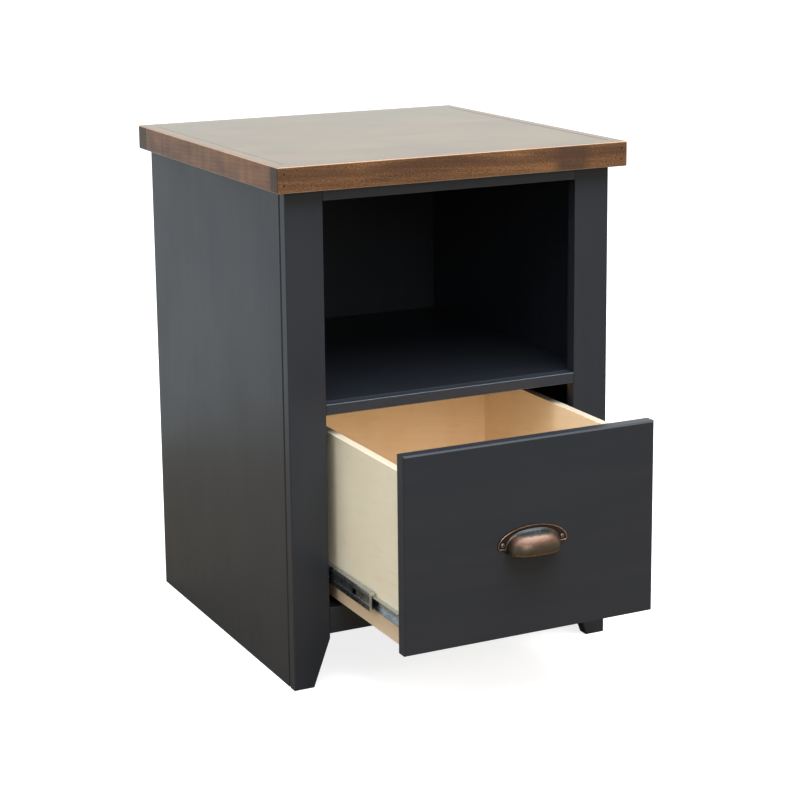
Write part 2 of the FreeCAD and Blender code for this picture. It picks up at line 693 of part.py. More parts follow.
def build_end_bracket(name, side, middle_front):
    """A bent steel end piece: a plate across the middle member's end and a tongue."""
    tongue_high = "(dims.middle_height - 2 * dims.steel - 2 * dims.bracket_gap)"
    tongue_start = "(dims.middle_standoff + dims.middle_recess + dims.steel)"
    body = channel(f"slide_end_bracket_{name}", side,
                   channel_outline(side, tongue_high, "dims.bracket_depth", tongue_start),
                   middle_front, "dims.bracket_length")
    plate = channel_outline(side, "dims.middle_height",
                            "(dims.middle_depth - dims.bracket_step)",
                            "dims.middle_standoff", sheet_steel="dims.bracket_web")
    sketch = polygon_sketch(body, f"slide_end_bracket_{name}_plate", "XZ_Plane", plate)
    pad(body, sketch, "dims.bracket_plate")


def build_rear_stop(name, side):
    """A plastic buffer in the closed end of the fixed member."""
    inside_high = "(dims.outer_height - 2 * dims.steel - 2 * dims.stop_gap)"
    web = f"({SLIDE_PLANE} - dims.steel)"
    board(f"slide_rear_stop_{name}", mirrored_span(side, f"{web} - dims.stop_depth", web),
          (behind("dims.slide_setback + dims.slide_length - dims.stop_length"),
           "dims.stop_length"),
          (f"dims.slide_centre - {inside_high} / 2", inside_high))


# ---------------------------------------------------------------------------
# Fasteners
# ---------------------------------------------------------------------------
UP = FreeCAD.Vector(0, 0, 1)
AIM = {
    "y": FreeCAD.Rotation(),
    "-y": FreeCAD.Rotation(UP, 180),
    "x": FreeCAD.Rotation(UP, -90),
    "-x": FreeCAD.Rotation(UP, 90),
    "z": FreeCAD.Rotation(FreeCAD.Vector(1, 0, 0), 90),
}


def solid_of_turning(label, profile):
    """A fastener turned about Y from (radius, distance) expressions, pointing to +Y."""
    body = doc.addObject("PartDesign::Body", label)
    sketch = polygon_sketch(body, f"{label}_profile", "XY_Plane", profile)
    turned = body.newObject("PartDesign::Revolution", f"{label}_turned")
    turned.Profile = sketch
    turned.ReferenceAxis = (sketch, ["V_Axis"])
    turned.Angle = 360
    doc.recompute()
    return body


def screw_profile(length, flush):
    head = "dims.flush_head" if flush else "dims.pan_head"
    tip = f"({length} - dims.screw_point)"
    if flush:
        crown = [("0", "0"), (head, "0"), ("dims.wood_screw", "dims.flush_head_height")]
    else:
        low = "-dims.pan_head_height"
        crown = [("0", low), (f"{head} * {HEAD_CROWN}", low),
                 (head, f"{low} * {HEAD_SHOULDER}"), (head, "0"), ("dims.wood_screw", "0")]
    return crown + [("dims.wood_screw", tip), ("0", length)]


def fasteners(label, profile, direction, places):
    """Copies of one fastener, each with the face under its head at a place."""
    pattern = solid_of_turning(f"{label}_pattern", profile)
    members = []
    for x, y, z in places:
        member = doc.addObject("Part::Feature", f"{label}_member")
        member.Shape = pattern.Tip.Shape
        member.Placement = FreeCAD.Placement(FreeCAD.Vector(), AIM[direction])
        place(member, x, y, z)
        members.append(member)
    group(label, members)


def build_slide_screws(name, side):
    sign = "" if side > 0 else "-"
    outward = "x" if side > 0 else "-x"
    inward = "-x" if side > 0 else "x"
    web = f"{sign}({SLIDE_PLANE} - dims.steel)"
    fasteners(f"slide_case_screws_{name}", screw_profile("dims.case_screw", True), outward,
              [(web, behind(distance), "dims.slide_centre") for distance in CASE_SCREWS])
    drawer_web = f"{sign}(dims.box_width / 2 + dims.steel)"
    fasteners(f"slide_drawer_screws_{name}", screw_profile("dims.drawer_screw", False), inward,
              [(drawer_web, behind(f"{distance} - dims.drawer_open"), "dims.slide_centre")
               for distance in DRAWER_SCREWS])
    rows = [f"dims.slide_centre {offset} dims.spacer_screw_row" for offset in "-+"]
    fasteners(f"spacer_screws_{name}", screw_profile("dims.spacer_screw", True), outward,
              [(f"{sign}{SLIDE_PLANE}", behind(distance), row)
               for distance in SPACER_SCREWS for row in rows])


def build_screws():
    inside = behind(f"{BOX_FRONT} + dims.box_ply")
    fasteners("drawer_front_screws", screw_profile("dims.front_screw", False), "-y",
              [(f"{sign}dims.front_screw_side", inside, height) for sign in ("-", "")
               for height in ("dims.front_screw_low", "dims.front_screw_high")])
    fasteners("top_screws", screw_profile("dims.top_screw", False), "z",
              [(f"{sign}dims.top_screw_side", behind(distance), CASE_HIGH)
               for sign in ("-", "") for distance in TOP_SCREWS])
    plate_face = behind("-dims.drawer_open - dims.plate_thickness")
    fasteners("pull_screws", screw_profile("dims.pull_screw", False), "y",
              [(f"{sign}dims.pull_screw_pitch / 2", plate_face, "dims.pull_screw_height")
               for sign in ("-", "")])


def build_nails():
    shank = [("0", "0"), ("dims.nail", "0"), ("dims.nail", "dims.nail_length"),
             ("0", "dims.nail_length")]
    rows = ("dims.total_height - dims.nail_high", "dims.total_height - dims.nail_low")
    line = "(dims.carcass_width / 2 + dims.top_side_overhang - dims.edge_side_board / 2)"
    edge_places = [(f"{sign}{line}", row) for sign in ("-", "") for row in rows]
    front_face = behind("dims.nail_set - dims.top_front_overhang")
    fasteners("front_edge_nails", shank, "y", [(x, front_face, z) for x, z in edge_places])
    back_face = behind("dims.carcass_depth + dims.top_back_overhang - dims.nail_set")
    fasteners("back_edge_nails", shank, "-y", [(x, back_face, z) for x, z in edge_places])
    nosing_middle = "(dims.shelf_low + dims.shelf_high) / 2"
    fasteners("nosing_nails", shank, "y",
              [(f"{sign}({HALF_OPENING} - dims.nosing_nail_side)", behind("dims.nail_set"),
                nosing_middle) for sign in ("-", "")])


# ---------------------------------------------------------------------------
# Cup pull: a hollow quarter ellipsoid, open below, on an arched backplate
# ---------------------------------------------------------------------------
def quarter_ellipsoid(name, shrink):
    cup = doc.addObject("Part::Ellipsoid", name)
    cup.Angle1 = 0
    cup.Angle2 = 90
    cup.Angle3 = 180
    bind(cup, Radius1=f"dims.pull_cup_top - dims.pull_lip_height - {shrink}",
         Radius2=f"dims.pull_half_width - {shrink}",
         Radius3=f"dims.pull_projection - {shrink}")
    half_turn = FreeCAD.Rotation(FreeCAD.Vector(0, 0, 1), 180)
    cup.Placement = FreeCAD.Placement(FreeCAD.Vector(), half_turn)
    place(cup, "0", behind("-dims.drawer_open"), "dims.pull_lip_height")
    return cup


def arch_plate(name, shrink, thickness):
    """The upper half of an elliptical disc standing on the drawer's face."""
    ellipse = doc.addObject("Part::Ellipse", f"{name}_outline")
    bind(ellipse, MajorRadius=f"dims.plate_half_width - {shrink}",
         MinorRadius=f"dims.plate_top - dims.plate_low - {shrink}")
    upright = FreeCAD.Rotation(FreeCAD.Vector(1, 0, 0), 90)
    ellipse.Placement = FreeCAD.Placement(FreeCAD.Vector(), upright)
    place(ellipse, "0", behind("-dims.drawer_open"), "dims.plate_low")
    disc = doc.addObject("Part::Extrusion", f"{name}_disc")
    disc.Base = ellipse
    disc.DirMode = "Normal"
    disc.Solid = True
    disc.setExpression("LengthRev", thickness)
    doc.recompute()
    window = doc.addObject("Part::Box", f"{name}_window")
    full = "2 * dims.plate_half_width"
    bind(window, Length=full, Width=full, Height=full)
    place(window, "-dims.plate_half_width",
          behind("-dims.drawer_open - dims.plate_half_width"), "dims.plate_low")
    half = doc.addObject("Part::Common", f"{name}_half")
    half.Base = disc
    half.Tool = window
    return half


def build_pull():
    wall = doc.addObject("Part::Cut", "cup_wall")
    wall.Base = quarter_ellipsoid("cup_outside", "0")
    wall.Tool = quarter_ellipsoid("cup_inside", "dims.pull_wall")
    plate = arch_plate("plate", "0", f"dims.plate_thickness * {PLATE_SHARE}")
    rim = doc.addObject("Part::Cut", "plate_rim")
    rim.Base = arch_plate("rim_outside", "0", "dims.plate_thickness")
    rim.Tool = arch_plate("rim_inside", "dims.plate_rim", "dims.plate_thickness")
    pull = doc.addObject("Part::MultiFuse", "cup_pull")
    pull.Label = "cup_pull"
    pull.Shapes = [wall, plate, rim]
    pull.Refine = True
    NODES.append(pull)


# ---------------------------------------------------------------------------
# Build, check and write
# ---------------------------------------------------------------------------
def check_document():
    for thing in doc.Objects:
        failed = [state for state in thing.State if state in ("Invalid", "Error")]
        if failed:
            raise RuntimeError(f"{thing.Name} is {failed}")
    for node in NODES:
        shape = node.Shape
        if shape.isNull() or not shape.isValid() or not shape.Solids:
            raise RuntimeError(f"{node.Label} has no valid solid")
        loose = isinstance(shape, Part.Compound) and node.TypeId == "Part::Compound"
        if len(shape.Solids) != 1 and not loose:
            raise RuntimeError(f"{node.Label} has {len(shape.Solids)} solids")


def write_parts():
    os.makedirs("parts", exist_ok=True)
    for node in NODES:
        node.Shape.exportStep(f"parts/{node.Label}.step")
    print(f"{len(NODES)} parts written")


build_top()
build_case()
build_drawer()
for side_name, side_sign in SIDES.items():
    build_slide(side_name, side_sign)
    build_slide_screws(side_name, side_sign)
build_pull()
build_screws()
build_nails()
doc.recompute()
check_document()
write_parts()
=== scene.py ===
import math

import bmesh
import bpy
from mathutils import Matrix, Vector


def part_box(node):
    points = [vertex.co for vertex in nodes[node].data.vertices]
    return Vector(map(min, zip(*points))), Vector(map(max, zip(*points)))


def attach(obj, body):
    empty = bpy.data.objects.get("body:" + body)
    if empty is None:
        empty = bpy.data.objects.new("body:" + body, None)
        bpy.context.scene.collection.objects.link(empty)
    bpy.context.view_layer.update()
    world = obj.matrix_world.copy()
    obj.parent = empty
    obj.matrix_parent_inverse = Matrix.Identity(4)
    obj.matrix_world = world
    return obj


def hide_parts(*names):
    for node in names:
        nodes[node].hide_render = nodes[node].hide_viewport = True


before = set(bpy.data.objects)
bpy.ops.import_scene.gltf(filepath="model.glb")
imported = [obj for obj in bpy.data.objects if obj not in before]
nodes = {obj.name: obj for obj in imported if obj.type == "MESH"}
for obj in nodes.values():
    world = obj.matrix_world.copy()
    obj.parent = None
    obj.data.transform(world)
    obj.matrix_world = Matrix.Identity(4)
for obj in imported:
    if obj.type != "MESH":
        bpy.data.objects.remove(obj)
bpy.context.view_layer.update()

MM = 0.001
AXES = {"X": 0, "Y": 1, "Z": 2}


# ---------------------------------------------------------------------------
# Camera: a long lens, left of the cabinet and above it
# ---------------------------------------------------------------------------
CAMERA_PLACE = (-1.3621, -2.7359, 1.1518)
YAW_PITCH_ROLL = (26.2, 11.9, -0.6)
LENS_MM = 93.75
SENSOR_MM = 36.0
LENS_SHIFT = -0.1125
NEAREST, FARTHEST = 0.05, 60.0


def add_camera():
    """Aim the camera: yaw to the right, pitch down, and a slight roll."""
    yaw, pitch, roll = (math.radians(angle) for angle in YAW_PITCH_ROLL)
    forward = Vector((math.sin(yaw) * math.cos(pitch), math.cos(yaw) * math.cos(pitch),
                      -math.sin(pitch)))
    right = forward.cross(Vector((0, 0, 1))).normalized()
    up = right.cross(forward)
    tilted_right = right * math.cos(roll) + up * math.sin(roll)
    tilted_up = up * math.cos(roll) - right * math.sin(roll)
    data = bpy.data.cameras.new("camera")
    data.lens = LENS_MM
    data.sensor_width = SENSOR_MM
    data.shift_y = LENS_SHIFT
    data.clip_start = NEAREST
    data.clip_end = FARTHEST
    camera = bpy.data.objects.new("camera", data)
    bpy.context.scene.collection.objects.link(camera)
    turn = Matrix((tilted_right, tilted_up, -forward)).transposed().to_4x4()
    camera.matrix_world = Matrix.Translation(CAMERA_PLACE) @ turn
    bpy.context.scene.camera = camera


# ---------------------------------------------------------------------------
# Node graphs
# ---------------------------------------------------------------------------
class Shade:
    """A material with one Principled shader and short calls that add nodes to it."""

    def __init__(self, name):
        self.material = bpy.data.materials.new(name)
        self.material.use_nodes = True
        self.tree = self.material.node_tree
        self.tree.nodes.clear()
        output = self.tree.nodes.new("ShaderNodeOutputMaterial")
        self.shader = self.tree.nodes.new("ShaderNodeBsdfPrincipled")
        self.tree.links.new(self.shader.outputs[0], output.inputs[0])
        self.coordinates = self.tree.nodes.new("ShaderNodeTexCoord")

    def put(self, socket, value):
        """Link another node's output to a socket, or set the socket to a constant."""
        if isinstance(value, bpy.types.NodeSocket):
            self.tree.links.new(value, socket)
        else:
            socket.default_value = value

    def add(self, kind, settings=None, **inputs):
        """Add a node and return its first output; input i0 is its first socket."""
        node = self.tree.nodes.new(f"ShaderNode{kind}")
        for name, value in (settings or {}).items():
            setattr(node, name, value)
        for name, value in inputs.items():
            key = int(name[1:]) if name[0] == "i" and name[1:].isdigit() else name
            self.put(node.inputs[key], value)
        return node.outputs[0]

    def place(self):
        return self.coordinates.outputs["Object"]

    def normal(self):
        return self.coordinates.outputs["Normal"]

    def math(self, operation, first, second=0.0):
        return self.add("Math", settings={"operation": operation}, i0=first, i1=second)

    def plus(self, first, second):
        return self.math("ADD", first, second)

    def minus(self, first, second):
        return self.math("SUBTRACT", first, second)

    def times(self, first, second):
        return self.math("MULTIPLY", first, second)

    def swing(self, value, amount):
        """A value from 0 to 1, centred on 0 and scaled."""
        return self.times(self.minus(value, 0.5), amount)

    def distance(self, first, second):
        """The length of a step with two parts at right angles."""
        squares = self.plus(self.times(first, first), self.times(second, second))
        return self.math("SQRT", squares)

    def along(self, axis):
        """The place's coordinate along an axis."""
        return self.parts(self.place())[AXES[axis]]

    def facing(self, axis):
        """How squarely the surface faces along an axis, either way, from 0 to 1."""
        return self.math("ABSOLUTE", self.parts(self.normal())[AXES[axis]])

    def vector(self, operation, first, second):
        return self.add("VectorMath", settings={"operation": operation}, i0=first, i1=second)

    def parts(self, vector):
        node = self.tree.nodes.new("ShaderNodeSeparateXYZ")
        self.tree.links.new(vector, node.inputs[0])
        return node.outputs

    def join(self, x, y, z):
        return self.add("CombineXYZ", i0=x, i1=y, i2=z)

    def noise(self, vector, scale, detail=3.0, rough=0.5, warp=0.0):
        return self.add("TexNoise", Vector=vector, Scale=scale, Detail=detail,
                        Roughness=rough, Distortion=warp)

    def cells(self, vector, scale):
        return self.add("TexVoronoi", Vector=vector, Scale=scale)

    def ramp(self, factor, stops, smooth=False):
        node = self.tree.nodes.new("ShaderNodeValToRGB")
        self.tree.links.new(factor, node.inputs[0])
        ramp = node.color_ramp
        ramp.interpolation = "EASE" if smooth else "LINEAR"
        while len(ramp.elements) < len(stops):
            ramp.elements.new(0.5)
        for element, (spot, colour) in zip(ramp.elements, stops):
            element.position = spot
            if isinstance(colour, (int, float)):
                colour = (colour, colour, colour)
            element.color = (*colour, 1.0)
        return node.outputs[0]

    def span(self, value, low, high, to_low=0.0, to_high=1.0):
        """Map the values from low to high onto a new range, and hold it beyond them."""
        return self.add("MapRange", i0=value, i1=low, i2=high, i3=to_low, i4=to_high)

    def mix(self, factor, first, second, blend="MIX"):
        node = self.tree.nodes.new("ShaderNodeMix")
        node.data_type = "RGBA"
        node.blend_type = blend
        self.put(node.inputs[0], factor)
        for socket, value in ((node.inputs[6], first), (node.inputs[7], second)):
            if isinstance(value, tuple) and len(value) == 3:
                value = (*value, 1.0)
            self.put(socket, value)
        return node.outputs[2]

    def bump(self, height, strength, distance, under=None):
        inputs = {"Strength": strength, "Distance": distance, "Height": height}
        if under is not None:
            inputs["Normal"] = under
        return self.add("Bump", **inputs)

    def finish(self, **inputs):
        """Set the shader's sockets and return the material."""
        for name, value in inputs.items():
            socket = self.shader.inputs[name.replace("_", " ")]
            if isinstance(value, tuple) and len(value) == 3 and socket.type == "RGBA":
                value = (*value, 1.0)
            self.put(socket, value)
        return self.material


# ---------------------------------------------------------------------------
# Patterns and masks that several materials share
# ---------------------------------------------------------------------------
NAIL_RADIUS = 0.9 * MM
HOLE_RADIUS = 1.7 * MM


def log_grain(shade, along, seed, ring, heart, lean=0.072):
    """Growth rings of a log whose axis runs along one axis, and its fibres.

    ring is the width of a year's growth, heart the place of the log's middle across the
    grain, and lean how far that middle moves for each metre along the grain. Returns the
    ring pattern, 0 to 1, the fibres, and the place stretched along the grain.
    """
    x, y, z = shade.parts(shade.vector("ADD", shade.place(), seed))
    run = (x, y, z)[AXES[along]]
    across = [value for index, value in enumerate((x, y, z)) if index != AXES[along]]
    wander = shade.noise(shade.join(shade.times(run, 2.2), shade.times(across[0], 9.0),
                                    shade.times(across[1], 9.0)), 1.0, 2.0)
    shift = shade.swing(wander, 0.055)
    side = shade.plus(shade.minus(across[0], heart[0]), shift)
    deep = shade.plus(shade.minus(across[1], heart[1]), shade.times(run, lean))
    radius = shade.distance(side, deep)
    turns = shade.math("FRACT", shade.math("DIVIDE", radius, ring))
    rings = shade.ramp(turns, [(0.0, 0.15), (0.55, 0.42), (0.86, 1.0), (1.0, 0.15)])
    stretched = shade.join(shade.times(run, 6.0), shade.times(across[0], 260.0),
                           shade.times(across[1], 260.0))
    fibres = shade.noise(stretched, 1.0, 4.0, 0.65)
    return rings, fibres, stretched


def arris(shade):
    """1 on the rounded long edges between level and upright faces, where highlights are painted.
    """
    return shade.ramp(shade.facing("Z"), [(0.22, 0.0), (0.45, 1.0), (0.78, 1.0), (0.94, 0.0)])


def end_grain(shade, along):
    """1 on faces that cut across the grain, 0 on faces that run with it."""
    return shade.math("GREATER_THAN", shade.facing(along), 0.7)


def near(shade, axis, spot, reach):
    """1 at a place along an axis, falling to 0 at a distance from it."""
    away = shade.math("ABSOLUTE", shade.minus(shade.along(axis), spot))
    return shade.span(away, reach, reach * 0.5)


def nail_holes(shade, box):
    """1 in the filled holes over four nails that stand in the corners of a box."""
    low, high = box
    x, _, z = shade.parts(shade.place())
    middle = (low[2] + high[2]) / 2
    side = shade.minus(shade.math("ABSOLUTE", x), high[0] - NAIL_RADIUS)
    rise = shade.minus(shade.math("ABSOLUTE", shade.minus(z, middle)),
                       high[2] - middle - NAIL_RADIUS)
    return shade.span(shade.distance(side, rise), HOLE_RADIUS, HOLE_RADIUS * 0.7)


# ---------------------------------------------------------------------------
# Materials
# ---------------------------------------------------------------------------
STAIN_STOPS = ((0.16, (0.030, 0.013, 0.0070)), (0.36, (0.085, 0.036, 0.016)),
               (0.56, (0.185, 0.085, 0.034)), (0.84, (0.37, 0.19, 0.075)))
STAIN_BAND = (0.050, 0.022, 0.012)
STAIN_SMUDGE = (0.045, 0.022, 0.014)
STAIN_HOLE = (0.010, 0.007, 0.005)
STAIN_END = (0.040, 0.025, 0.015)
STAIN_TOP_SHADE = (0.062, 0.030, 0.015)
STAIN_ARRIS_HIGHLIGHT = (0.55, 0.39, 0.27)
STAIN_SEAM = (0.030, 0.020, 0.014)
SEAM_REACH = 2.2 * MM
FLECKS_ACROSS, FLECKS_ALONG = 640.0, 340.0


def stained_wood(name, along, seed, light, red=1.0, band=None, coat=1.0, chatter=0.0,
                 speckle=0.52, fibre=0.18, nails=None, smudge=None, seam=None,
                 painted_top_shade=0.72):
    """Walnut-stained softwood under satin varnish, polished more on its upper face.

    band is the height and depth of a darker stripe along the board, and chatter, speckle
    and fibre are the strengths of the planer's marks across it, of the short golden
    flecks and of the long fibres. nails is the box of the nails under filled holes,
    smudge the place and width of a dark patch along X, and seam the X of an open joint.
    The last argument is how far the upper face is darkened by painted shade, which holds
    back the stronger light that falls on it from above.
    """
    shade = Shade(name)
    rings, fibres, _ = log_grain(shade, along, seed, 0.0062, (0.03, -0.055))
    place = shade.vector("ADD", shade.place(), seed)
    blotch = shade.noise(shade.vector("MULTIPLY", place, (7.0, 7.0, 30.0)), 1.0, 3.0, 0.55, 0.5)
    size = [FLECKS_ACROSS] * 3
    size[AXES[along]] = FLECKS_ALONG
    flecks = shade.noise(shade.vector("MULTIPLY", place, tuple(size)), 1.0, 3.0, 0.75)
    tone = shade.plus(shade.times(rings, 0.07), shade.times(fibres, fibre))
    tone = shade.plus(tone, shade.swing(flecks, speckle))
    tone = shade.plus(tone, shade.times(blotch, 0.46))
    tone = shade.plus(tone, 0.14)
    if chatter:
        marks = shade.noise(shade.vector("MULTIPLY", place, (20.0, 75.0, 9.0)), 1.0, 2.5)
        tone = shade.plus(tone, shade.swing(marks, chatter))
    stops = [(spot, (r * light * red, g * light, b * light))
             for spot, (r, g, b) in STAIN_STOPS]
    colour = shade.ramp(tone, stops)
    if band:
        level, depth = band
        height = shade.along("Z")
        wavy = shade.plus(height, shade.swing(blotch, 0.022))
        stripe = shade.ramp(shade.span(wavy, level - 0.014, level + 0.006),
                            [(0.0, 0.0), (0.4, 1.0), (0.7, 0.8), (1.0, 0.05)], True)
        colour = shade.mix(shade.times(stripe, depth), colour, STAIN_BAND)
    if smudge:
        patch = near(shade, "X", smudge[0], smudge[1])
        patch = shade.times(patch, shade.span(blotch, 0.35, 0.62, 0.35, 0.85))
        colour = shade.mix(patch, colour, STAIN_SMUDGE)
    if nails:
        colour = shade.mix(nail_holes(shade, nails), colour, STAIN_HOLE)
    cut = end_grain(shade, along)
    colour = shade.mix(shade.times(cut, 0.78), colour, STAIN_END)
    upper = shade.ramp(shade.parts(shade.normal())[2], [(0.86, 0.0), (0.97, 1.0)])
    # painted shade: the upper face is darkened to hold back the stronger light from above
    colour = shade.mix(shade.times(upper, painted_top_shade), colour, STAIN_TOP_SHADE)
    # painted highlight: the rounded long edges are lightened, as where light catches them
    colour = shade.mix(shade.times(arris(shade), 0.50), colour, STAIN_ARRIS_HIGHLIGHT)
    gloss = shade.span(fibres, 0.3, 0.7, 0.30, 0.42)
    grain = shade.bump(fibres, 0.20, 0.0004)
    wave = shade.bump(shade.noise(shade.place(), 14.0, 1.0), 0.10, 0.002, grain)
    uncut = shade.minus(1.0, shade.times(cut, 0.8))
    varnish = shade.math("MAXIMUM", upper, shade.times(uncut, coat))
    if seam:
        joint = near(shade, "X", seam, SEAM_REACH)
        colour = shade.mix(joint, colour, STAIN_SEAM)
        varnish = shade.times(varnish, shade.minus(1.0, joint))
    return shade.finish(Base_Color=colour, Roughness=gloss, Normal=wave, Coat_Weight=varnish,
                        Specular_IOR_Level=0.08, Coat_Roughness=0.16, Coat_IOR=1.6)


def paint(name, along, seed, tint=1.0, gloss=0.36, arris_highlight=0.25, joints=0.0):
    """Charcoal satin paint, through which the wood's grain just shows.

    Its rounded long edges are lightened by a painted highlight, as strong as the argument
    after gloss, and joints is how far the paint is darker where a rail's end meets its
    neighbour.
    """
    shade = Shade(name)
    rings, fibres, stretched = log_grain(shade, along, seed, 0.011, (0.10, -0.16), 0.12)
    cloud = shade.noise(shade.place(), 5.0, 3.0, 0.6)
    streaks = shade.noise(shade.vector("MULTIPLY", stretched, (0.35, 0.16, 0.16)), 1.0, 3.0)
    # tint scales the paint's colour: below 1 it paints shade, above 1 painted light
    base = shade.mix(cloud, (0.0140 * tint, 0.0172 * tint, 0.0245 * tint),
                     (0.0172 * tint, 0.0205 * tint, 0.0280 * tint))
    colour = shade.mix(shade.span(streaks, 0.35, 0.70, 0.0, 0.3), base,
                       (0.026 * tint, 0.028 * tint, 0.033 * tint))
    specks = shade.ramp(shade.cells(shade.place(), 210.0), [(0.0, 1.0), (0.035, 0.0)])
    dust = shade.times(specks, shade.ramp(
        shade.noise(shade.place(), 31.0, 1.0), [(0.62, 0.0), (0.66, 0.6)]))
    colour = shade.mix(dust, colour, (0.16, 0.155, 0.15))
    # painted highlight: a pale blue on the rounded long edges, as where light catches them
    colour = shade.mix(shade.times(arris(shade), arris_highlight), colour, (0.155, 0.180, 0.220))
    if joints:
        turned = shade.facing("X")
        colour = shade.mix(shade.span(turned, 0.10, 0.35, 0.0, joints), colour,
                           (0.0015, 0.0016, 0.0018))
    rough = shade.plus(shade.span(cloud, 0.3, 0.7, gloss - 0.03, gloss + 0.05),
                       shade.swing(fibres, 0.10))
    peel = shade.bump(shade.noise(shade.place(), 620.0, 1.0), 0.10, 0.0003)
    grain = shade.bump(shade.plus(shade.times(rings, 0.5), fibres), 0.10, 0.0005, peel)
    return shade.finish(Base_Color=colour, Roughness=rough, Normal=grain,
                        Specular_IOR_Level=0.5)


# half a ply, and enough whole ones to keep the count above zero
PLY_OFFSET = 100.5


def plywood(name, along, seed, thin, middle, thickness, plies=7, painted_bounce=0.0, tan_below=None):
    """Clear-lacquered birch plywood: veneer on the faces, glued plies on the edges.

    thin is the axis of the sheet's thickness, and middle the sheet's middle along it.
    The veneer is darker and more tan below a given height.
    """
    shade = Shade(name)
    rings, fibres, stretched = log_grain(shade, along, seed, 0.016, (0.06, -0.20), 0.18)
    cloud = shade.noise(shade.vector("ADD", shade.place(), seed), 7.0, 3.0, 0.55)
    # painted light: inside the drawer box the veneer is made warmer and lighter, standing in for
    # light bounced between its walls
    pale = (0.81 + 0.14 * painted_bounce, 0.74 + 0.03 * painted_bounce, 0.58 - 0.04 * painted_bounce)
    tan = (0.75 + 0.15 * painted_bounce, 0.66 + 0.03 * painted_bounce, 0.49 - 0.03 * painted_bounce)
    colour = shade.mix(shade.span(cloud, 0.30, 0.72), pale, tan)
    figure = shade.times(rings, 0.14)
    colour = shade.mix(figure, colour, (0.74, 0.60 - 0.05 * painted_bounce, 0.42 - 0.10 * painted_bounce))
    flecks = shade.ramp(shade.noise(shade.vector("MULTIPLY", stretched, (4.5, 0.8, 0.8)),
                                    1.0, 2.0), [(0.26, 0.12), (0.42, 0.0)])
    colour = shade.mix(flecks, colour, (0.46, 0.32, 0.17))
    mottle = shade.noise(shade.vector("ADD", shade.place(), seed), 26.0, 3.0, 0.6)
    colour = shade.mix(shade.span(mottle, 0.52, 0.72, 0.0, 0.22), colour,
                       (0.78, 0.60 - 0.06 * painted_bounce, 0.44 - 0.14 * painted_bounce))
    if tan_below:
        under = shade.span(shade.along("Z"), tan_below + 0.004, tan_below - 0.004, 0.0, 0.75)
        colour = shade.mix(under, colour, (0.72, 0.50, 0.31))
    layer = shade.math("DIVIDE", shade.minus(shade.along(thin), middle), thickness / plies)
    share = shade.math("FRACT", shade.plus(layer, PLY_OFFSET))
    turn = shade.math("ABSOLUTE", shade.minus(share, 0.5))
    cross = shade.math("FLOORED_MODULO", shade.math("FLOOR", shade.plus(layer, PLY_OFFSET)), 2.0)
    edge_tone = shade.mix(cross, (0.52, 0.47, 0.38), (0.40, 0.345, 0.265))
    edge_tone = shade.mix(shade.ramp(turn, [(0.36, 0.0), (0.49, 0.75)]), edge_tone,
                          (0.22, 0.15, 0.09))
    edge_tone = shade.mix(shade.span(fibres, 0.35, 0.75, 0.0, 0.3), edge_tone,
                          (0.66, 0.61, 0.51))
    facing = shade.facing(thin)
    colour = shade.mix(shade.math("LESS_THAN", facing, 0.6), colour, edge_tone)
    bump = shade.bump(fibres, 0.14, 0.0004)
    rough = shade.span(fibres, 0.3, 0.7, 0.42, 0.55)
    return shade.finish(Base_Color=colour, Roughness=rough, Normal=bump,
                        Coat_Weight=0.15, Coat_Roughness=0.3)


def softwood(name):
    """Bare planed softwood of the hidden blocks."""
    shade = Shade(name)
    rings, fibres, _ = log_grain(shade, "Y", (0.3, 0.1, 0.2), 0.0055, (0.02, -0.06))
    colour = shade.ramp(shade.plus(shade.times(rings, 0.6), shade.times(fibres, 0.4)),
                        [(0.2, (0.60, 0.43, 0.24)), (0.8, (0.42, 0.25, 0.11))])
    return shade.finish(Base_Color=colour, Roughness=0.7, Normal=shade.bump(
        fibres, 0.3, 0.0005))


def zinc(name, tint=(0.66, 0.71, 0.75), rough=0.27, painted_bands=None):
    """Rolled steel with a bright zinc plating, drawn along its length.

    The optional last argument gives the heights and tones of painted highlight lines and
    of painted shade along the member.
    """
    shade = Shade(name)
    stretched = shade.vector("MULTIPLY", shade.place(), (700.0, 9.0, 700.0))
    drawn = shade.noise(stretched, 1.0, 3.0, 0.6)
    cloud = shade.noise(shade.place(), 60.0, 4.0, 0.65, 0.8)
    colour = shade.mix(shade.span(cloud, 0.34, 0.70), tint,
                       tuple(0.76 * part for part in tint))
    colour = shade.mix(shade.span(shade.noise(shade.place(), 24.0, 2.0), 0.45, 0.75, 0, 0.3),
                       colour, (0.52, 0.52, 0.44))
    if painted_bands:
        low, high, stops = painted_bands
        level = shade.span(shade.along("Z"), low, high)
        colour = shade.mix(1.0, colour, shade.ramp(level, stops), "MULTIPLY")
    gloss = shade.span(cloud, 0.3, 0.7, rough - 0.07, rough + 0.13)
    return shade.finish(Base_Color=colour, Metallic=1.0, Roughness=gloss,
                        Normal=shade.bump(drawn, 0.10, 0.0002))


